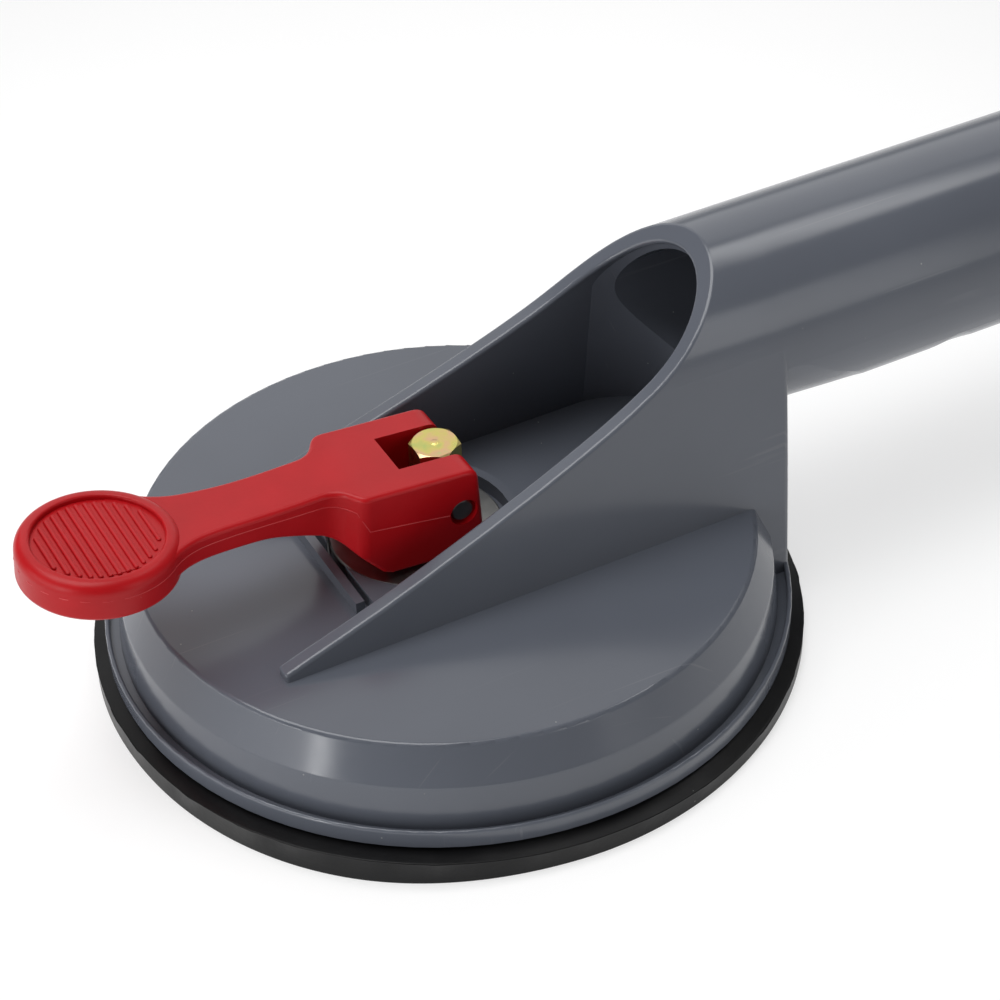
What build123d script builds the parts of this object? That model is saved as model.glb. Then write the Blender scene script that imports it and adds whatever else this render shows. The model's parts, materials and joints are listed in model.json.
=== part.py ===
"""Double suction grab bar: two lever-clamped suction cups under one hollow handle.

Millimetres, +Z up. The bar lies along X, the cups stand on the plane Z = 0, and the
origin is on that plane halfway between the two cups. Each cup is modelled in a frame of
its own, with its origin under the middle of the cup and its lever pointing along -X.
"""
import math
import os

from build123d import *

# ---- driving dimensions ----------------------------------------------------------
CUP_X = 103.0                # each cup's distance from the middle of the bar

# grey disc of the body
FLANGE_R = 57.5
FLANGE_BOTTOM = 4.8
BEAD_TOP = 7.9
BEAD_WIDTH = 0.8
GROOVE_R = 55.2              # foot of the disc's wall, beside the groove
GROOVE_FLOOR = 6.3
WAIST_R = 54.3               # where the steep wall turns into the bevel
WAIST_Z = 14.0
WAIST_ROUND = 1.2
PLATEAU_R = 51.3
PLATEAU_Z = 20.5
PLATEAU_ROUND = 0.9
WALL = 3.0
FOOT_R = 55.6                # ring that presses the rim of the pad
HOLLOW_R = 52.2
HOLLOW_Z = 13.0              # the hollow's wall slopes inwards more from here up
HUB_R = 11.0
HUB_BOTTOM = 13.2
RIB_COUNT = 8
RIB_WIDTH = 2.0
RIB_BOTTOM = 13.0
RIB_REACH = 51.8

# handle tube, and the cowl that carries it
TUBE_R = 17.4
TUBE_BORE_R = 13.3
TUBE_Z = 44.8
TUBE_HALF = 50.0             # half of the tube's length, into the cowls
BORE_HALF = 64.0
COWL_FLARE = 9.0             # degrees that the cowl's side walls lean outwards
COWL_TIP = -38.5             # outboard end of the side walls
COWL_FOOT = 5.6              # the cowl's block starts inside the flange
CORNER_ROUND = 1.2
RIM_ROUND = 0.6
POCKET_BACK = 34.0           # centre of the pocket's round end
POCKET_END_R = 18.6
POCKET_DRAFT = 9.0           # degrees
RIM = [(-44.0, 19.8), (-38.5, 21.8), (-25.4, 25.8), (-10.0, 31.0), (15.8, 41.0), (33.7, 50.3),
       (47.8, 62.2), (54.0, 68.0)]
FINGER_WAVE = [(-50.0, 1.1), (-44.0, 1.1), (-37.0, 0.75), (-30.0, 0.4), (-23.5, -0.2), (-11.5, 0.6),
               (0.0, -0.2)]
FINGER_RISE = 1.3            # axis of the finger grooves above the tube's axis

# seat for the lever, on the disc
SEAT_X = -5.2
SEAT_TOP = 23.2
SEAT_ROOT = 1.0              # seat and fence start this far inside the disc
SEAT_RING_R = 17.6
SEAT_EDGE_X = -19.7
SEAT_HALF = 18.4             # it runs into the cowl's walls on both sides
RECESS_X = -4.6
RECESS_R = 15.5
FENCE_X = -21.4
FENCE_WIDTH = 1.5
FENCE_HALF = 12.5
FENCE_TOP = 22.9

# wear washer under the cam
WASHER_R = 14.5
WASHER_EDGE = 0.25           # chamfer on its upper edge
WASHER_TOP = 22.6
WASHER_HOLE_R = 5.8

# stud, insert plate and pivot pin
STUD_X = -1.0
STUD_CORNER_R = 4.3
STUD_TOP = 38.7
STUD_TIP_R = 3.7             # flat circle left by the chamfer
STUD_CHAMFER_H = 0.35
PIP_R = 0.8                  # little turned pip in the middle of the stud's top
PIP_H = 0.12
COLLAR_R = 8.0
COLLAR_T = 1.6
SPIGOT_R = 3.5
STUD_BORE_R = 4.95
PLATE_R = 24.0
PLATE_BOTTOM = 8.0
PLATE_T = 2.0
PIN_R = 2.0
PIN_HALF = 9.2
PIN_Z = 31.0
PIN_CHAMFER = 0.3

# rubber pad
PAD_R = 59.9
PAD_RIM_T = 4.3
PAD_LEAN = 0.3               # the rim's wall leans in by this much
PAD_BEVEL = 1.2
PAD_BEVEL_H = 0.7
SEAL_R = 50.0                # inner edge of the flat sealing ring
DOME_R = 26.0
DOME_Z = 5.5
PAD_SHOULDER_R = 52.0
PAD_BOSS_R = 28.0
PAD_BOSS_FOOT = 9.0
PAD_BOSS_TOP_R = 27.0
PAD_BOSS_TOP = 12.3
PAD_CLEAR = 0.3              # around the insert plate and the stud's collar

# lever: U runs outboard from the pin, V runs up from a line that is LEVER_LIFT above the pin
LEVER_LIFT = 1.0
LEVER_TILT = 5.0             # degrees that the tip stands up when the cup is clamped
LEVER_TRAVEL = 85.0          # degrees from clamped to released
STROKE = 4.5                 # drop of the stud over that travel
CAM_GAP = 0.15
CAM_STEPS = 9
FORK_HALF = 9.7
FORK_TOP = 6.9
FORK_BEND_U = 0.2            # the fork's top is level as far as here
FORK_BACK_U = -2.5           # and comes down in a curve to here
FORK_BACK_V = 4.8
SLOT_HALF = 4.5
SLOT_END = 9.3
HEEL = [(12.4, 0.0), (13.9, 0.6)]          # end of the cam's flat foot, V measured from the foot
UNDER_CURVE = [(17.6, -5.2), (21.3, -2.5), (24.5, -1.24), (30.4, 0.3)]
NECK_U = 38.0                # the arm is straight from here to the thumb pad
TOP_CURVE = [(30.0, 5.8), (21.0, 6.6)]
FORK_FRONT_U = 16.0
SHOULDER_CURVE = [(16.5, 9.7), (19.4, 7.4), (23.0, 5.4)]     # plan: from the fork in to the arm
FLARE_CURVE = [(23.0, 5.4), (40.0, 5.7), (45.6, 6.75)]       # plan: from the arm out to the thumb pad
EYE_R = 2.05
EYE_SINK_R = 2.4
EYE_SINK = 0.9
ARM_SIDE = 4.9               # the arm's long edges are all further out than this
ARM_TOP = 5.5
ARM_BOTTOM = 0.7
ARM_END = 60.0
THUMB_U = 58.4
THUMB_R = 12.8
THUMB_TOP = 6.3
THUMB_BOTTOM = -0.3
DISH_R = 10.3
DISH_DEPTH = 0.9
THUMB_RIBS = 13
THUMB_RIB_PITCH = 1.415
THUMB_RIB_WIDTH = 0.75
THUMB_RIB_H = 0.4
THUMB_RIB_ROUND = 0.25
THUMB_RIB_SPREAD = 9.5       # the ribs' ends lie on this circle
EDGE_ROUND = 0.8
THUMB_ROUND = 1.9
BRIM_ROUND = 0.4

THROUGH = 120.0              # longer than anything it is cut through
STAND = (Align.CENTER, Align.CENTER, Align.MIN)      # a shape that stands on its own centre
REACH = (Align.MIN, Align.CENTER, Align.MIN)         # a box that reaches out along +X

os.makedirs("parts", exist_ok=True)


# ---- body ------------------------------------------------------------------------
def disc():
    """Disc of the body: flange with its bead, groove, steep wall, bevel and plateau, still solid."""
    bead_in = FLANGE_R - BEAD_WIDTH
    bead_side = BEAD_TOP - BEAD_WIDTH / 2
    with BuildPart() as part:
        with BuildSketch(Plane.XZ):
            with BuildLine():
                Polyline((0, PAD_RIM_T), (FOOT_R, PAD_RIM_T), (FOOT_R, FLANGE_BOTTOM),
                         (FLANGE_R, FLANGE_BOTTOM), (FLANGE_R, bead_side))
                ThreePointArc((FLANGE_R, bead_side), (FLANGE_R - BEAD_WIDTH / 2, BEAD_TOP),
                              (bead_in, bead_side))
                Polyline((bead_in, bead_side), (bead_in, GROOVE_FLOOR), (GROOVE_R, GROOVE_FLOOR),
                         (WAIST_R, WAIST_Z), (PLATEAU_R, PLATEAU_Z), (0, PLATEAU_Z), (0, PAD_RIM_T))
            make_face()
        revolve(axis=Axis.Z)
        for radius, rounding in ((WAIST_R, WAIST_ROUND), (PLATEAU_R, PLATEAU_ROUND)):
            rings = part.edges().filter_by(GeomType.CIRCLE)
            fillet(rings.filter_by(lambda edge: abs(edge.radius - radius) < 0.01), rounding)
    return part.part


def disc_hollow():
    """Space under the disc, over the pad."""
    roof = PLATEAU_Z - WALL
    with BuildPart() as part:
        with BuildSketch(Plane.XZ):
            with BuildLine():
                Polyline((0, 0), (HOLLOW_R, 0), (HOLLOW_R, PAD_RIM_T), (WAIST_R - WALL, HOLLOW_Z),
                         (PLATEAU_R - WALL / 2, roof), (0, roof), (0, 0))
            make_face()
        revolve(axis=Axis.Z)
    return part.part


def disc_ribs():
    """Hub round the stud's bore, and the radial ribs under the disc."""
    roof = PLATEAU_Z - WALL / 2
    hub = Pos(STUD_X, 0, HUB_BOTTOM) * Cylinder(HUB_R, roof - HUB_BOTTOM, align=STAND)
    rib = Pos(0, 0, RIB_BOTTOM) * Box(RIB_REACH, RIB_WIDTH, roof - RIB_BOTTOM, align=REACH)
    ribs = [Rot(0, 0, (step + 0.5) * 360 / RIB_COUNT) * rib for step in range(RIB_COUNT)]
    return hub + ribs


def arch(inset, bottom):
    """Section of the cowl: the tube's circle above two side walls that lean outwards."""
    radius = TUBE_R - inset
    lean = math.radians(COWL_FLARE)
    side = (radius * math.cos(lean), TUBE_Z + radius * math.sin(lean))
    foot = ((radius + (TUBE_Z - bottom) * math.sin(lean)) / math.cos(lean), bottom)
    with BuildSketch(Plane.YZ) as section:
        with BuildLine():
            Line((-foot[0], bottom), foot)
            Line(foot, side)
            ThreePointArc(side, (0, TUBE_Z + radius), (-side[0], side[1]))
            Line((-side[0], side[1]), (-foot[0], bottom))
        make_face()
    return section.sketch


def cowl_block():
    """Outside of the cowl: the arch, under the rim's curve and inside the flange's cylinder."""
    block = Pos(COWL_TIP, 0, 0) * extrude(arch(0, COWL_FOOT), THROUGH)
    with BuildSketch(Plane.XZ) as side:
        with BuildLine():
            Spline(*RIM)
            Polyline(RIM[-1], (THROUGH, RIM[-1][1]), (THROUGH, 0), (RIM[0][0], 0), RIM[0])
        make_face()
    under_rim = extrude(side.sketch, THROUGH, both=True)
    barrel = Cylinder(FLANGE_R, THROUGH, align=STAND)
    block = block & under_rim & barrel
    corners = block.edges().filter_by(GeomType.ELLIPSE)
    return block.fillet(CORNER_ROUND, corners)


def pocket():
    """Open pocket inside the cowl, round at its inboard end."""
    tunnel = extrude(arch(WALL, PLATEAU_Z), THROUGH, both=True)
    length = POCKET_BACK + THROUGH
    with BuildSketch(Plane.XY.offset(PLATEAU_Z)) as plan:
        with Locations((POCKET_BACK - length / 2, 0)):
            Rectangle(length, 2 * POCKET_END_R)
        with Locations((POCKET_BACK, 0)):
            Circle(POCKET_END_R)
    return tunnel & extrude(plan.sketch, TUBE_Z, taper=POCKET_DRAFT)


def cowl():
    """Hollow cowl with a rounded rim."""
    shell = cowl_block() - pocket()
    rim_faces = [face for face in shell.faces() if face.geom_type == GeomType.EXTRUSION]
    rim_edges = [edge for face in rim_faces for edge in face.edges()
                 if abs(edge.center().Y) > 0.1 and edge.bounding_box().size.X > 0.1]
    shell = shell.fillet(RIM_ROUND, rim_edges)
    tip_edges = [edge for edge in shell.edges() if abs(edge.center().X - COWL_TIP) < 0.1
                 and edge.bounding_box().size.X < 0.1 and edge.bounding_box().max.Z > PLATEAU_Z]
    return shell.fillet(RIM_ROUND, tip_edges)


def lever_seat():
    """Raised seat round the wear washer, and the straight fence outboard of it."""
    foot = PLATEAU_Z - SEAT_ROOT
    height = SEAT_TOP - foot
    ring = Pos(SEAT_X, 0, foot) * Cylinder(SEAT_RING_R, height, align=STAND)
    keep = Pos(SEAT_EDGE_X, 0, 0) * Box(THROUGH, THROUGH, THROUGH, align=REACH)
    step = Pos(SEAT_EDGE_X, 0, foot) * Box(SEAT_X - SEAT_EDGE_X, 2 * SEAT_HALF, height, align=REACH)
    seat = (ring & keep) + step
    seat -= Pos(RECESS_X, 0, PLATEAU_Z) * Cylinder(RECESS_R, height, align=STAND)
    fence = Pos(FENCE_X, 0, foot) * Box(FENCE_WIDTH, 2 * FENCE_HALF, FENCE_TOP - foot, align=STAND)
    return seat + fence


def handle():
    """Handle tube with shallow finger grooves along its underside."""
    tube = Rot(0, 90, 0) * Cylinder(TUBE_R, 2 * TUBE_HALF)
    wave = FINGER_WAVE + [(-x, rise) for x, rise in reversed(FINGER_WAVE[:-1])]
    with BuildPart() as grip:
        with BuildSketch(Plane.XZ):
            with BuildLine():
                Spline(*[(x, rise - TUBE_R) for x, rise in wave])
                Polyline((TUBE_HALF, wave[-1][1] - TUBE_R), (TUBE_HALF, FINGER_RISE),
                         (-TUBE_HALF, FINGER_RISE), (-TUBE_HALF, wave[0][1] - TUBE_R))
            make_face()
        revolve(axis=Axis((0, 0, FINGER_RISE), (1, 0, 0)))
    return Pos(0, 0, TUBE_Z) * (tube & grip.part)


def half_body():
    """One cup's share of the body, without the handle."""
    shell = disc() + cowl() - disc_hollow()
    shell = shell + disc_ribs() + lever_seat()
    return shell - Pos(STUD_X, 0, 0) * Cylinder(STUD_BORE_R, THROUGH, align=STAND)


def body():
    """The one grey moulding: two cup housings joined by the hollow handle."""
    half = half_body()
    whole = Pos(-CUP_X, 0, 0) * half + handle() + Pos(CUP_X, 0, 0) * Rot(0, 0, 180) * half
    bore = Pos(0, 0, TUBE_Z) * Rot(0, 90, 0) * Cylinder(TUBE_BORE_R, 2 * BORE_HALF)
    return whole - bore


# ---- small metal pieces ------------------------------------------------------------
def wear_washer():
    """Flat steel washer that the lever's cam slides on; its hole is off centre, round the stud."""
    thickness = WASHER_TOP - PLATEAU_Z
    blank = Pos(SEAT_X, 0, PLATEAU_Z) * Cylinder(WASHER_R, thickness, align=STAND)
    blank = chamfer(blank.edges().filter_by(GeomType.CIRCLE).sort_by(Axis.Z)[-1], WASHER_EDGE)
    return blank - Pos(STUD_X, 0, PLATEAU_Z) * Cylinder(WASHER_HOLE_R, thickness, align=STAND)


def hex_stud():
    """Hexagon stud: chamfered top, cross hole for the pin, collar and spigot in the insert plate."""
    collar_z = PLATE_BOTTOM + PLATE_T
    chamfer_z = STUD_TOP - STUD_CHAMFER_H
    section = Rot(0, 0, 90) * RegularPolygon(STUD_CORNER_R, 6)
    hexagon = extrude(Plane.XY.offset(collar_z) * section, STUD_TOP - collar_z)
    turned = Cylinder(STUD_CORNER_R, chamfer_z, align=STAND)
    turned += Pos(0, 0, chamfer_z) * Cone(STUD_CORNER_R, STUD_TIP_R, STUD_CHAMFER_H, align=STAND)
    pip = Pos(0, 0, STUD_TOP) * Cone(PIP_R, PIP_R / 2, PIP_H, align=STAND)
    collar = Pos(0, 0, collar_z) * Cylinder(COLLAR_R, COLLAR_T, align=STAND)
    spigot = Pos(0, 0, PLATE_BOTTOM) * Cylinder(SPIGOT_R, PLATE_T, align=STAND)
    cross = Pos(0, 0, PIN_Z) * Rot(90, 0, 0) * Cylinder(PIN_R, THROUGH)
    return Pos(STUD_X, 0, 0) * ((hexagon & turned) + pip + collar + spigot - cross)


def insert_plate():
    """Round steel plate moulded into the pad, with the stud's spigot through it."""
    plate = Cylinder(PLATE_R, PLATE_T, align=STAND) - Cylinder(SPIGOT_R, PLATE_T, align=STAND)
    return Pos(STUD_X, 0, PLATE_BOTTOM) * plate


def pivot_pin():
    """Plain steel pin through the lever's fork and the stud."""
    pin = Cylinder(PIN_R, 2 * PIN_HALF)
    pin = chamfer(pin.edges().filter_by(GeomType.CIRCLE), PIN_CHAMFER)
    return Pos(STUD_X, 0, PIN_Z) * Rot(90, 0, 0) * pin


# ---- rubber pad --------------------------------------------------------------------
def suction_pad():
    """Rubber pad drawn up in the middle, with the insert plate's cavity inside its boss."""
    with BuildPart() as part:
        with BuildSketch(Plane.XZ):
            with BuildLine():
                Polyline((0, DOME_Z), (DOME_R, DOME_Z))
                Spline((DOME_R, DOME_Z), (SEAL_R, 0), tangents=((1, 0), (1, -0.25)))
                Polyline((SEAL_R, 0), (PAD_R, 0), (PAD_R - PAD_LEAN, PAD_RIM_T - PAD_BEVEL_H),
                         (PAD_R - PAD_BEVEL, PAD_RIM_T), (PAD_SHOULDER_R, PAD_RIM_T))
                Spline((PAD_SHOULDER_R, PAD_RIM_T), (PAD_BOSS_R, PAD_BOSS_FOOT),
                       tangents=((-1, 0), (-1, 0)))
                Polyline((PAD_BOSS_R, PAD_BOSS_FOOT), (PAD_BOSS_TOP_R, PAD_BOSS_TOP),
                         (0, PAD_BOSS_TOP), (0, DOME_Z))
            make_face()
        revolve(axis=Axis.Z)
    room_t = PLATE_T + 2 * PAD_CLEAR
    plate_room = Pos(0, 0, PLATE_BOTTOM - PAD_CLEAR) * Cylinder(PLATE_R + PAD_CLEAR, room_t, align=STAND)
    collar_room = Pos(0, 0, PLATE_BOTTOM) * Cylinder(COLLAR_R + PAD_CLEAR, PAD_BOSS_TOP, align=STAND)
    return part.part - Pos(STUD_X, 0, 0) * (plate_room + collar_room)


# ---- lever -------------------------------------------------------------------------
def cam_points():
    """Points of the cam's nose: an involute, so the stud drops in proportion to the lever's angle."""
    pitch = STROKE / math.radians(LEVER_TRAVEL)
    flat = PIN_Z - WASHER_TOP - CAM_GAP + pitch * math.radians(LEVER_TILT)
    points = []
    for step in range(CAM_STEPS):
        angle = math.radians(90) * (1 - step / (CAM_STEPS - 1))
        reach = flat - pitch * angle
        points.append((pitch * math.cos(angle) - reach * math.sin(angle),
                       -LEVER_LIFT - reach * math.cos(angle) - pitch * math.sin(angle)))
    return points


def lever_side():
    """Side outline of the lever, without its thumb pad."""
    nose = cam_points()
    heel = [(u, nose[-1][1] + v) for u, v in HEEL]
    with BuildSketch(Plane.XZ) as outline:
        with BuildLine():
            Spline(*nose)
            Polyline(nose[-1], *heel, UNDER_CURVE[0])
            Spline(*UNDER_CURVE, (NECK_U, ARM_BOTTOM), tangents=((1, 1), (1, 0)))
            Polyline((NECK_U, ARM_BOTTOM), (ARM_END, ARM_BOTTOM), (ARM_END, ARM_TOP), (NECK_U, ARM_TOP))
            Spline((NECK_U, ARM_TOP), *TOP_CURVE, (FORK_FRONT_U, FORK_TOP), tangents=((-1, 0), (-1, 0)))
            Line((FORK_FRONT_U, FORK_TOP), (FORK_BEND_U, FORK_TOP))
            Spline((FORK_BEND_U, FORK_TOP), (FORK_BACK_U, FORK_BACK_V), tangents=((-1, 0), (-0.14, -1)))
            Line((FORK_BACK_U, FORK_BACK_V), nose[0])
        make_face()
    return outline.sketch


def lever_plan():
    """Plan outline of the lever: fork, shoulders, slim arm and the flare into the thumb pad."""
    fork_side = SHOULDER_CURVE[0]
    on_pad = THUMB_R * math.cos(math.radians(45))
    flare_end = (THUMB_U - on_pad, on_pad)
    with BuildSketch(Plane.XY) as outline:
        with BuildLine() as edge:
            Polyline((-FORK_HALF, 0), (-FORK_HALF, fork_side[1]), fork_side)
            Spline(*SHOULDER_CURVE, tangents=((1, 0), (1, 0)))
            Spline(*FLARE_CURVE, flare_end, tangents=((1, 0), (1, 1)))
            Polyline(flare_end, (ARM_END, flare_end[1]), (ARM_END, 0))
            mirror(edge.line, about=Plane.XZ)
        make_face()
    return outline.sketch


def long_side_edges(arm):
    """Edges along both sides of the fork and arm, top and bottom, up to the thumb pad."""
    edges = arm.edges().filter_by(lambda edge: abs(edge.center().Y) > ARM_SIDE and edge.length > 0.4)
    upright = edges.filter_by(lambda edge: edge.bounding_box().size.X < 0.01)
    return [edge for edge in edges if edge not in upright and edge.bounding_box().max.X < ARM_END - 0.1]


def thumb_pad():
    """Round thumb pad with rounded edges and a shallow dish."""
    pad = Pos(THUMB_U, 0, THUMB_BOTTOM) * Cylinder(THUMB_R, THUMB_TOP - THUMB_BOTTOM, align=STAND)
    rings = pad.edges().filter_by(GeomType.CIRCLE).sort_by(Axis.Z)
    pad = pad.fillet(EDGE_ROUND, [rings[0]]).fillet(THUMB_ROUND, [rings[-1]])
    pad -= Pos(THUMB_U, 0, THUMB_TOP - DISH_DEPTH) * Cylinder(DISH_R, THUMB_TOP, align=STAND)
    rings = pad.edges().filter_by(GeomType.CIRCLE)
    brim = rings.filter_by(lambda ring: abs(ring.radius - DISH_R) < 0.01).sort_by(Axis.Z)
    return pad.fillet(BRIM_ROUND, [brim[-1]])


def lever():
    """Clamping lever, in its own frame, with the fork, the cam and the ribbed thumb pad."""
    arm = extrude(lever_side(), THROUGH, both=True) & extrude(lever_plan(), THROUGH, both=True)
    arm = arm.fillet(EDGE_ROUND, long_side_edges(arm))
    shape = arm + thumb_pad()
    slot = Pos(SLOT_END - THROUGH, 0, -THROUGH / 2) * Box(THROUGH, 2 * SLOT_HALF, THROUGH, align=REACH)
    eye = Pos(0, 0, -LEVER_LIFT) * Rot(90, 0, 0) * Cylinder(EYE_R, THROUGH)
    shape = shape - slot - eye
    for side in (-1, 1):
        shape -= Pos(0, side * FORK_HALF, -LEVER_LIFT) * Rot(90, 0, 0) * Cylinder(EYE_SINK_R, 2 * EYE_SINK)
    dish_floor = THUMB_TOP - DISH_DEPTH
    for step in range(THUMB_RIBS):
        offset = (step - (THUMB_RIBS - 1) / 2) * THUMB_RIB_PITCH
        length = 2 * math.sqrt(THUMB_RIB_SPREAD ** 2 - offset ** 2)
        plan = Plane.XY.offset(dish_floor) * (Rot(0, 0, 90) * SlotOverall(length, THUMB_RIB_WIDTH))
        bar = extrude(plan, THUMB_RIB_H)
        bar = bar.fillet(THUMB_RIB_ROUND, bar.faces().sort_by(Axis.Z)[-1].edges())
        shape += Pos(THUMB_U + offset, 0, 0) * bar
    return shape


def placed_lever():
    """The lever on its pin, clamped, pointing along -X."""
    return Pos(STUD_X, 0, PIN_Z) * Rot(0, 0, 180) * Rot(0, -LEVER_TILT, 0) * Pos(0, 0, LEVER_LIFT) * lever()


# ---- export ------------------------------------------------------------------------
export_step(body(), "parts/body.step")
for name, shape in (("suction_pad", suction_pad()), ("insert_plate", insert_plate()),
                    ("hex_stud", hex_stud()), ("wear_washer", wear_washer()),
                    ("pivot_pin", pivot_pin()), ("lever", placed_lever())):
    export_step(Pos(-CUP_X, 0, 0) * shape, f"parts/{name}_a.step")
    export_step(Pos(CUP_X, 0, 0) * Rot(0, 0, 180) * shape, f"parts/{name}_b.step")
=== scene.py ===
"""Looks of the double suction grab bar: materials, rubber pads, parting lines, studio light and the camera.

The CAD nodes keep their shapes and get procedural materials. The two rubber pads are
rebuilt here, each as a fixed rim and a soft middle.
"""
import json
import math
import random

import bmesh
import bpy
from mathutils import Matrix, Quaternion, Vector
from mathutils.bvhtree import BVHTree

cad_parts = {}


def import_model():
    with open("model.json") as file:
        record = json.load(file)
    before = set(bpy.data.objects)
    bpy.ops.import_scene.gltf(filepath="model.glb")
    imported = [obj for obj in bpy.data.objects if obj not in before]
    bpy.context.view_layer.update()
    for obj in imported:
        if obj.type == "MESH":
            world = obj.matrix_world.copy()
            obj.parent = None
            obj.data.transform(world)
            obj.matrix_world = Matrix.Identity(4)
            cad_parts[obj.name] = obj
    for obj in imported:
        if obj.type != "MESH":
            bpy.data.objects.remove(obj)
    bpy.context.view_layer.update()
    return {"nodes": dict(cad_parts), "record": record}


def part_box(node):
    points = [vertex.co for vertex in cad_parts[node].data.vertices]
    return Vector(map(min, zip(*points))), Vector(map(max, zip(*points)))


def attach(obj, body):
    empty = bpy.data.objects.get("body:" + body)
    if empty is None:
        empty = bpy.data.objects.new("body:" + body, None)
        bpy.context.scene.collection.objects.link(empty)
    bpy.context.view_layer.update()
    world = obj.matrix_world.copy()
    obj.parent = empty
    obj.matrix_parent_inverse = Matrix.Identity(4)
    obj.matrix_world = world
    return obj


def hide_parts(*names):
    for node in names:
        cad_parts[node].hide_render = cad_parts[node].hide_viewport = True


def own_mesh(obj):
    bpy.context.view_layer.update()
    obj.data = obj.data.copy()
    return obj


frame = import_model()
nodes = frame["nodes"]

SEED = 7
MM = 0.001


def placed(name, data):
    """New object made from mesh, curve, lamp or camera data, linked into the scene."""
    made = bpy.data.objects.new(name, data)
    bpy.context.scene.collection.objects.link(made)
    return made


# ---- material helpers ------------------------------------------------------------
class Paint:
    """One procedural material, with short calls to add and join its nodes."""

    def __init__(self, name, **shader_values):
        self.material = bpy.data.materials.new(name)
        self.material.use_nodes = True
        self.tree = self.material.node_tree
        self.shader = self.tree.nodes["Principled BSDF"]
        for socket, value in shader_values.items():
            self.shader.inputs[socket.replace("_", " ")].default_value = value
        self.place = self.add("ShaderNodeTexCoord").outputs["Object"]

    def add(self, kind, **settings):
        """Adds one node and gives it its settings."""
        node = self.tree.nodes.new(kind)
        for key, value in settings.items():
            setattr(node, key, value)
        return node

    def set(self, socket, value):
        """Gives an input a value, or joins it to an output."""
        if isinstance(value, bpy.types.NodeSocket):
            self.tree.links.new(value, socket)
        else:
            socket.default_value = value

    def wire(self, socket, value):
        """Gives an input of the surface shader a value, or joins it to an output."""
        self.set(self.shader.inputs[socket], value)

    def noise(self, scale, detail, where=None):
        """Noise of scale features to the metre, in detail octaves."""
        node = self.add("ShaderNodeTexNoise")
        self.set(node.inputs["Vector"], where or self.place)
        node.inputs["Scale"].default_value = scale
        node.inputs["Detail"].default_value = detail
        return node.outputs["Fac"]

    def stretched(self, stretch, turn=(0, 0, 0)):
        """Coordinates turned and stretched, for scratches and brushing."""
        node = self.add("ShaderNodeMapping")
        self.set(node.inputs["Vector"], self.place)
        node.inputs["Rotation"].default_value = turn
        node.inputs["Scale"].default_value = stretch
        return node.outputs["Vector"]

    def ramp(self, factor, stops):
        """Colour ramp; each stop is (position, colour or grey level)."""
        node = self.add("ShaderNodeValToRGB")
        self.set(node.inputs["Fac"], factor)
        elements = node.color_ramp.elements
        while len(elements) < len(stops):
            elements.new(1.0)
        for element, (position, colour) in zip(elements, stops):
            element.position = position
            level = (colour,) * 3 if isinstance(colour, (int, float)) else colour
            element.color = (*level, 1.0)
        return node.outputs["Color"]

    def mix(self, factor, first, second):
        """Colour that goes from first to second as factor goes from 0 to 1."""
        node = self.add("ShaderNodeMix", data_type="RGBA")
        self.set(node.inputs["Factor"], factor)
        self.set(node.inputs["A"], first)
        self.set(node.inputs["B"], second)
        return node.outputs["Result"]

    def math(self, operation, first, second):
        """Sum, product or comparison of two values."""
        node = self.add("ShaderNodeMath", operation=operation)
        self.set(node.inputs[0], first)
        self.set(node.inputs[1], second)
        return node.outputs["Value"]

    def scaled(self, texture, span, least):
        """Texture brought from 0..1 to least..least + span."""
        return self.math("ADD", self.math("MULTIPLY", texture, span), least)

    def specks(self, scale, size, share):
        """Mask of small round specks, in a share of the cells of a grid that is scale cells to the metre."""
        node = self.add("ShaderNodeTexVoronoi")
        self.set(node.inputs["Vector"], self.place)
        node.inputs["Scale"].default_value = scale
        near = self.math("LESS_THAN", node.outputs["Distance"], size)
        split = self.add("ShaderNodeSeparateColor")
        self.set(split.inputs["Color"], node.outputs["Color"])
        chosen = self.math("LESS_THAN", split.outputs["Red"], share)
        return self.math("MULTIPLY", near, chosen)

    def bump(self, height, distance, strength):
        """Raises and sinks the surface's shading by a height texture; distance is in metres."""
        node = self.add("ShaderNodeBump")
        node.inputs["Distance"].default_value = distance
        node.inputs["Strength"].default_value = strength
        self.set(node.inputs["Height"], height)
        self.wire("Normal", node.outputs["Normal"])


# ---- materials -------------------------------------------------------------------
GREY_DARK = (0.098, 0.107, 0.130)
GREY_LIGHT = (0.107, 0.117, 0.142)
GREY_SCRATCH = (0.20, 0.21, 0.23, 1)
GREY_DUST = (0.24, 0.25, 0.26, 1)
HAIR_STRETCH = (0.25, 30, 1)
HAIR_TURN = (0, 0, -0.12)
SCRATCH_STRETCH = (1, 14, 14)
SCRATCH_TURN = (0, 0, 0.5)

RED_DARK = (0.42, 0.003, 0.006)
RED_LIGHT = (0.46, 0.004, 0.008)
# lighter red for the levers' parting lines: a painted highlight along them
PAINTED_HIGHLIGHT_RED_DARK = (0.52, 0.030, 0.036)
PAINTED_HIGHLIGHT_RED_LIGHT = (0.62, 0.075, 0.080)
RED_DUST = (0.60, 0.22, 0.22, 1)

RUBBER_DARK = (0.004, 0.004, 0.0045)
RUBBER_LIGHT = (0.008, 0.008, 0.0085)
# patchy grey bloom, put only on faces that do not look up: also a painted sheen on the sides
BLOOM_AND_SIDE_SHEEN_THIN = (0.007, 0.007, 0.0075)
BLOOM_AND_SIDE_SHEEN_THICK = (0.030, 0.030, 0.029)
RUBBER_DUST = (0.12, 0.12, 0.115, 1)

ZINC_GREEN = (0.42, 0.50, 0.16)
ZINC_YELLOW = (0.60, 0.52, 0.16)
ZINC_ROSE = (0.66, 0.42, 0.24)
ZINC_OLIVE = (0.50, 0.50, 0.22)
ZINC_STRETCH = (1, 1, 0.08)

STEEL_DARK = (0.17, 0.17, 0.17)
STEEL_LIGHT = (0.27, 0.27, 0.265)


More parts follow.
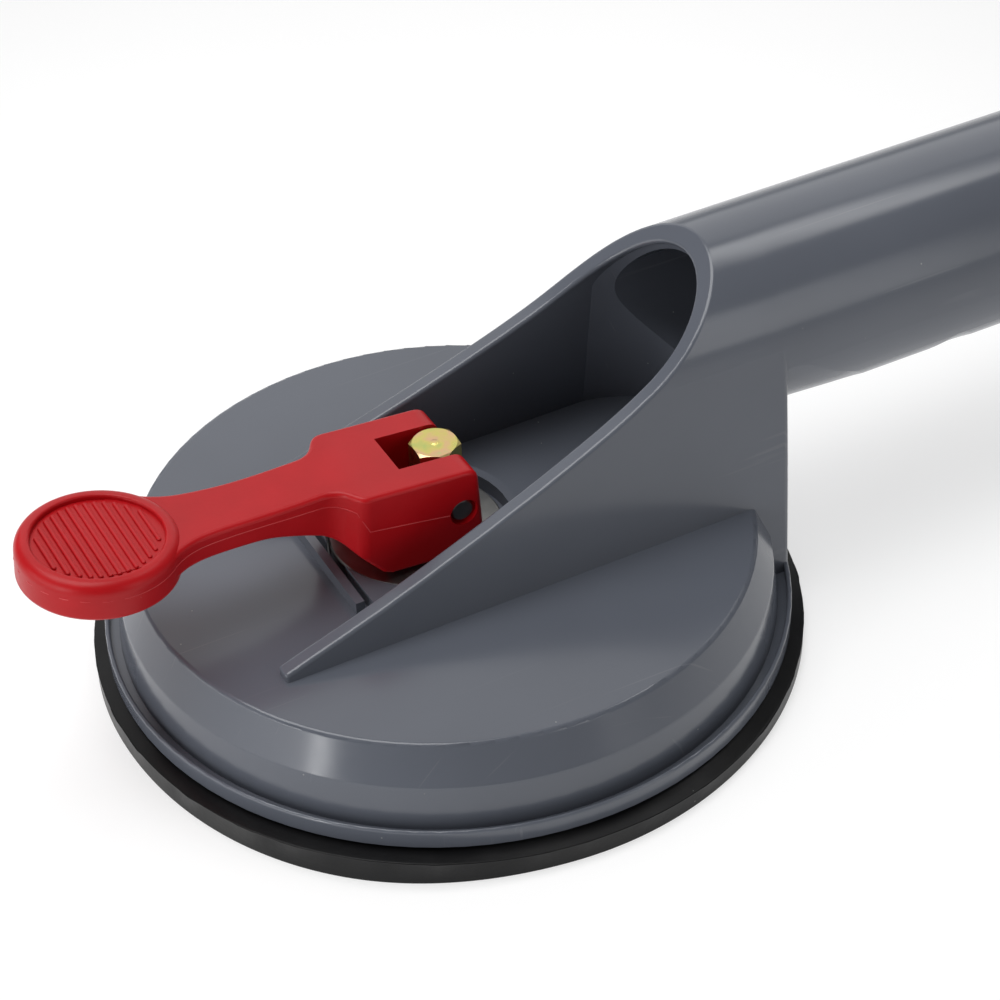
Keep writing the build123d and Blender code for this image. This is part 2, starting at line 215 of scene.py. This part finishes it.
def grey_plastic():
    """Smooth grey moulding: faint flow mottling, dust, hairline scratches, a little orange peel."""
    paint = Paint("grey_abs", IOR=1.5)
    mottle = paint.ramp(paint.noise(28, 3), [(0.35, GREY_DARK), (0.65, GREY_LIGHT)])
    dust = paint.specks(420, 0.06, 0.07)
    hairs = paint.noise(90, 2, where=paint.stretched(HAIR_STRETCH, HAIR_TURN))
    marked = paint.mix(paint.ramp(hairs, [(0.70, 0.0), (0.76, 0.22)]), mottle, GREY_SCRATCH)
    paint.wire("Base Color", paint.mix(dust, marked, GREY_DUST))
    scratches = paint.noise(60, 4, where=paint.stretched(SCRATCH_STRETCH, SCRATCH_TURN))
    smudge = paint.noise(45, 3)
    worn = paint.math("ADD", paint.math("MULTIPLY", scratches, 0.06), paint.math("MULTIPLY", smudge, 0.06))
    paint.wire("Roughness", paint.math("ADD", worn, 0.13))
    paint.bump(paint.noise(700, 2), 0.00001, 0.4)
    return paint.material


def red_plastic(name, dark, light):
    """Glossy red nylon: slightly uneven colour, fine surface grain, pale dust."""
    paint = Paint(name, IOR=1.34)
    tone = paint.ramp(paint.noise(120, 3), [(0.35, dark), (0.65, light)])
    dust = paint.specks(600, 0.05, 0.05)
    paint.wire("Base Color", paint.mix(dust, tone, RED_DUST))
    paint.wire("Roughness", paint.scaled(paint.noise(160, 3), 0.12, 0.30))
    paint.bump(paint.noise(1400, 2), 0.00003, 0.5)
    return paint.material


def rubber():
    """Black rubber: satin, finely pitted, with dust and patchy grey bloom; the bloom is put only on faces
    that do not look up, so the sides are painted lighter as a sheen and the tops are painted darker as shade.
    """
    paint = Paint("black_rubber", IOR=1.27)
    clean = paint.ramp(paint.noise(90, 5), [(0.35, RUBBER_DARK), (0.7, RUBBER_LIGHT)])
    bloom_and_side_sheen = paint.ramp(paint.noise(18, 3), [(0.48, BLOOM_AND_SIDE_SHEEN_THIN), (0.62, BLOOM_AND_SIDE_SHEEN_THICK)])
    facing = paint.add("ShaderNodeSeparateXYZ")
    paint.set(facing.inputs["Vector"], paint.add("ShaderNodeNewGeometry").outputs["Normal"])
    # the tops keep the dark clean colour and the other faces take the lighter bloom: painted shade on the
    # tops, painted sheen on the sides
    upward_painted_shade = paint.ramp(facing.outputs["Z"], [(0.25, 0.0), (0.75, 1.0)])
    dust = paint.specks(500, 0.07, 0.12)
    paint.wire("Base Color", paint.mix(dust, paint.mix(upward_painted_shade, bloom_and_side_sheen, clean), RUBBER_DUST))
    paint.wire("Roughness", paint.scaled(paint.noise(250, 3), 0.16, 0.28))
    paint.bump(paint.noise(1500, 3), 0.00003, 0.6)
    return paint.material


def yellow_zinc():
    """Passivated zinc: yellow with rose and green tints, machining marks across the flats."""
    paint = Paint("yellow_zinc", Metallic=1.0)
    tints = [(0.30, ZINC_GREEN), (0.45, ZINC_YELLOW), (0.58, ZINC_ROSE), (0.70, ZINC_OLIVE)]
    paint.wire("Base Color", paint.ramp(paint.noise(260, 3), tints))
    brushed = paint.noise(300, 4, where=paint.stretched(ZINC_STRETCH))
    paint.wire("Roughness", paint.scaled(brushed, 0.25, 0.18))
    paint.bump(brushed, 0.00005, 0.5)
    return paint.material


def bright_steel():
    """Zinc-plated steel with fine marks and duller patches."""
    paint = Paint("bright_steel", Metallic=1.0)
    paint.wire("Base Color", paint.ramp(paint.noise(180, 4), [(0.3, STEEL_DARK), (0.7, STEEL_LIGHT)]))
    marks = paint.noise(500, 4)
    paint.wire("Roughness", paint.scaled(marks, 0.2, 0.30))
    paint.bump(marks, 0.00003, 0.5)
    return paint.material


red_nylon = red_plastic("red_nylon", RED_DARK, RED_LIGHT)
painted_highlight_red = red_plastic("painted_highlight_red", PAINTED_HIGHLIGHT_RED_DARK, PAINTED_HIGHLIGHT_RED_LIGHT)
materials = {"grey_plastic": grey_plastic(), "red_plastic": red_nylon, "rubber": rubber(),
             "yellow_zinc": yellow_zinc(), "steel": bright_steel()}
for part in frame["record"]["subparts"]:
    for holder in nodes[part["node"]].material_slots:
        holder.material = materials[part["material_slot"]]


# ---- rubber pads, in millimetres ---------------------------------------------------
PAD_STEPS = 288
SEAL_R = 50.0
RIM_R = 59.9
WELD = 1e-6  # metres
# how the soft rim stands: (angle from the lever's side in degrees, bulge, height of the edge)
RIM_STANCE = [(0, -0.25, 3.6), (48, 0.9, 4.55), (82, 0.0, 3.5), (120, -0.3, 2.6), (180, -0.2, 3.0),
              (240, -0.1, 3.4), (300, -0.2, 3.3), (360, -0.25, 3.6)]
# lower corner of the rim: (out from its radius, height)
RIM_FOOT = [(-0.6, 0.0), (-0.1, 0.02), (0.0, 0.12), (0.0, 0.3)]
# upper edge of the rim: (out from its radius, above the edge's height, share of the flash)
RIM_EDGE = [(-0.04, -0.35, 0), (-0.02, -0.12, 1), (0.0, 0.0, 1), (-0.15, 0.04, 0), (-0.4, 0.06, 0)]
# top of the rim under the disc: (radius, height)
RIM_SHELF = [(57.4, 4.25), (56.0, 4.3), (SEAL_R, 4.3)]
# soft middle with a thin web, a dome underneath and a boss on top: (radius, height)
MIDDLE = [(0, 5.5), (26.0, 5.5), (32.0, 5.0), (38.0, 3.6), (44.0, 1.6), (48.0, 0.3), (SEAL_R, 0.0),
          (SEAL_R, 4.3), (46.0, 4.6), (40.0, 5.9), (34.0, 7.8), (28.0, 9.0), (27.6, 10.5), (27.0, 12.0),
          (26.4, 12.3), (0, 12.3)]
# thin ragged flash that the mould leaves: its heights, the share of them left, steps that share a height
FLASH_HEIGHTS = (0.0, 0.0, 0.04, 0.08, 0.16)
FLASH_LEFT = (0.4, 1.0)
FLASH_STEPS = 3


def stance(angle):
    """Bulge and edge height of the rim at an angle in degrees, eased between the stated angles."""
    for first, second in zip(RIM_STANCE, RIM_STANCE[1:]):
        if first[0] <= angle <= second[0]:
            share = (angle - first[0]) / (second[0] - first[0])
            ease = share * share * (3 - 2 * share)
            return [low + (high - low) * ease for low, high in zip(first[1:], second[1:])]
    return RIM_STANCE[0][1:]


def ragged(source):
    """Random flash along the rim: mostly none, with short torn stretches."""
    flash, height = [], 0.0
    for step in range(PAD_STEPS):
        if step % FLASH_STEPS == 0:
            height = source.choice(FLASH_HEIGHTS)
        flash.append(height * source.uniform(*FLASH_LEFT))
    return flash


def step_angle(step):
    """Angle of a step round the pad, in radians."""
    return math.tau * step / PAD_STEPS


def rim_outline(step, rag):
    """Outline of the pad's rim at one step, with the flash standing rag proud of its upper edge."""
    bulge, edge = stance(math.degrees(step_angle(step)))
    radius = RIM_R + bulge
    foot = [(radius + out, height) for out, height in RIM_FOOT]
    upper = [(radius + out + rag * share, edge + above) for out, above, share in RIM_EDGE]
    return [(SEAL_R, 0.0)] + foot + upper + RIM_SHELF


def turned(name, outlines, centre, turn):
    """Closed ring or disc about centre, from one closed (radius, height) outline for each step round it."""
    shape = bmesh.new()
    rings = []
    for step, outline in enumerate(outlines):
        angle = turn + step_angle(step)
        around = Vector((math.cos(angle), math.sin(angle), 0))
        rings.append([shape.verts.new(centre + around * radius * MM + Vector((0, 0, height * MM)))
                      for radius, height in outline])
    for ring, after in zip(rings, rings[1:] + rings[:1]):
        for here in range(len(ring)):
            there = (here + 1) % len(ring)
            shape.faces.new((ring[here], ring[there], after[there], after[here]))
    bmesh.ops.remove_doubles(shape, verts=shape.verts, dist=WELD)
    bmesh.ops.recalc_face_normals(shape, faces=shape.faces)
    mesh = bpy.data.meshes.new(name)
    shape.to_mesh(mesh)
    shape.free()
    mesh.shade_smooth()
    return placed(name, mesh)


for side, turn in (("a", math.pi), ("b", 0.0)):
    low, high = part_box(f"suction_pad_{side}")
    centre = Vector(((low.x + high.x) / 2, (low.y + high.y) / 2, low.z))
    flash = ragged(random.Random(SEED))
    rim = turned(f"pad_rim_{side}", [rim_outline(step, rag) for step, rag in enumerate(flash)], centre, turn)
    middle = turned(f"pad_middle_{side}", [MIDDLE] * PAD_STEPS, centre, turn)
    for piece in (rim, middle):
        piece.data.materials.append(materials["rubber"])
        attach(piece, "bar")
    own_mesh(middle)
    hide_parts(f"suction_pad_{side}")


# ---- parting lines of the levers, in millimetres -------------------------------------
LINE_R = 0.09
LEVER_TILT = math.radians(5.0)
BASE_LIFT = 1.0  # the lever's base line above its pin
# (outboard of the pin, above the base line), from the fork to the middle of the thumb pad
LEVER_LINE = [(2.6, -0.9), (9.0, -0.3), (16.7, 0.35), (17.6, 2.0), (18.6, 3.9), (23.0, 4.1), (30.0, 3.8),
              (40.0, 3.6), (50.0, 3.5), (58.4, 3.5)]
# the line goes on round the thumb pad by THUMB_SWEEP degrees, with a point every THUMB_TURN
THUMB_SWEEP = 90
THUMB_TURN = 15
RAY_REACH = 30  # from the lever's middle to where a ray starts back towards its surface


def thread(name, points, body, material):
    """Hair-thin raised line through points, which are in metres."""
    line = bpy.data.curves.new(name, "CURVE")
    line.dimensions = "3D"
    line.bevel_depth = LINE_R * MM
    line.bevel_resolution = 1
    line.use_fill_caps = True
    spline = line.splines.new("POLY")
    spline.points.add(len(points) - 1)
    for knot, point in zip(spline.points, points):
        knot.co = (*point, 1.0)
    line.materials.append(material)
    made = placed(name, line)
    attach(made, body)


def line_steps():
    """Points about a millimetre apart along the parting line, without its last one."""
    for start, end in zip(LEVER_LINE, LEVER_LINE[1:]):
        steps = max(1, round(end[0] - start[0]))
        for step in range(steps):
            share = step / steps
            yield [low + (high - low) * share for low, high in zip(start, end)]


def lever_line(side, outward, face):
    """Parting line along one flank of a lever and round its thumb pad, laid on the moulding's surface."""
    surface = BVHTree.FromObject(nodes[f"lever_{side}"], bpy.context.evaluated_depsgraph_get())
    low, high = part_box(f"pivot_pin_{side}")
    pin = (low + high) / 2
    along = Vector((outward * math.cos(LEVER_TILT), 0, math.sin(LEVER_TILT)))
    over = Vector((-outward * math.sin(LEVER_TILT), 0, math.cos(LEVER_TILT)))
    across = Vector((0, face, 0))
    aims = [(point, across) for point in line_steps()]
    for degrees in range(0, THUMB_SWEEP + 1, THUMB_TURN):
        turn = math.radians(degrees)
        aims.append((LEVER_LINE[-1], across * math.cos(turn) + along * math.sin(turn)))
    points = []
    for (outboard, above), direction in aims:
        core = pin + (along * outboard + over * (above + BASE_LIFT)) * MM
        hit = surface.ray_cast(core + direction * RAY_REACH * MM, -direction)[0]
        if hit is not None:  # a ray that misses the lever adds no point
            points.append(hit)
    name = "near" if face < 0 else "far"
    # the parting line is given a lighter red: a painted highlight along it
    thread(f"lever_line_{name}_{side}", points, f"clamp_lever_{side}", painted_highlight_red)


for side, outward in (("a", -1), ("b", 1)):
    for face in (-1, 1):
        lever_line(side, outward, face)


# ---- floor, light and camera -------------------------------------------------------
FLOOR_REACH = 6.0
LIT_CENTRE = (-0.09, 0.0, 0.0)
# floor's glow: (metres from LIT_CENTRE, strength)
GLOW = [(0.14, 0.62), (0.45, 0.25)]
WHITE = (1, 1, 1, 1)
SKY_STRENGTH = 0.2

LAMP_TARGET = Vector((-0.08, 0.0, 0.03))
# name, azimuth and elevation in degrees, distance and (width, height) in metres, radiance
SOFTBOXES = [
    ("back_wall", 155, 31, 1.6, (2.2, 1.3), 0.9),
    ("overhead", -130, 74, 1.3, (0.9, 0.9), 4.4),
    ("strip_above_bar", 107, 59, 1.3, (0.5, 0.18), 5.0),
    ("side_left_wide", -93, 12, 1.2, (1.1, 0.6), 1.9),
    ("side_left_edge", -67, 12, 1.2, (0.12, 0.6), 10.0),
    ("side_right", 27, 18, 1.4, (0.38, 0.8), 1.8),
]

LENS = 100.0
SENSOR = 36.0
CLIP_START = 0.01
CAMERA_PLACE = (-0.2533, -0.3188, 0.3136)
CAMERA_AZIMUTH = -26.750
CAMERA_ELEVATION = 39.240
CAMERA_ROLL = -2.146


def floor():
    """Pale plain floor that glows a little, most of all round cup a."""
    mesh = bpy.data.meshes.new("studio_floor")
    corners = [(FLOOR_REACH * x, FLOOR_REACH * y, 0) for x, y in ((-1, -1), (1, -1), (1, 1), (-1, 1))]
    mesh.from_pydata(corners, [], [(0, 1, 2, 3)])
    made = placed("studio_floor", mesh)
    paint = Paint("pale_floor", Roughness=0.9)
    paint.wire("Base Color", paint.ramp(paint.noise(3, 2), [(0.3, 0.40), (0.7, 0.42)]))
    paint.wire("Emission Color", WHITE)
    away = paint.add("ShaderNodeVectorMath", operation="DISTANCE")
    paint.set(away.inputs[0], paint.place)
    paint.set(away.inputs[1], LIT_CENTRE)
    paint.wire("Emission Strength", paint.ramp(away.outputs["Value"], GLOW))
    made.data.materials.append(paint.material)


def heading(azimuth, elevation):
    """Unit vector out from the bar, in degrees: azimuth 0 is in front of it and 90 beyond its cup b end."""
    turn, rise = math.radians(azimuth), math.radians(elevation)
    return Vector((math.sin(turn) * math.cos(rise), -math.cos(turn) * math.cos(rise), math.sin(rise)))


def set_up(made, place, away, roll=0.0):
    """Puts a lamp or camera at place, looking back along away and rolled by some degrees."""
    made.location = place
    made.rotation_mode = "QUATERNION"
    made.rotation_quaternion = (-away).to_track_quat("-Z", "Y") @ Quaternion((0, 0, 1), math.radians(roll))


def softbox(name, azimuth, elevation, distance, size, radiance):
    """Rectangular soft white light that faces cup a."""
    lamp = bpy.data.lights.new(name, "AREA")
    lamp.shape = "RECTANGLE"
    lamp.size, lamp.size_y = size
    lamp.energy = radiance * math.pi * size[0] * size[1]
    away = heading(azimuth, elevation)
    set_up(placed(name, lamp), LAMP_TARGET + away * distance, away)


def world():
    """Even white surroundings."""
    sky = bpy.data.worlds.new("studio")
    sky.use_nodes = True
    background = sky.node_tree.nodes["Background"]
    background.inputs["Color"].default_value = WHITE
    background.inputs["Strength"].default_value = SKY_STRENGTH
    bpy.context.scene.world = sky


def camera():
    """Main viewpoint: a long lens half a metre from cup a, looking down along the bar."""
    lens = bpy.data.cameras.new("camera")
    lens.lens = LENS
    lens.sensor_width = SENSOR
    lens.clip_start = CLIP_START
    made = placed("camera", lens)
    set_up(made, CAMERA_PLACE, heading(CAMERA_AZIMUTH, CAMERA_ELEVATION), CAMERA_ROLL)
    bpy.context.scene.camera = made


floor()
for box in SOFTBOXES:
    softbox(*box)
world()
camera()
bpy.context.scene.view_settings.view_transform = "Standard"
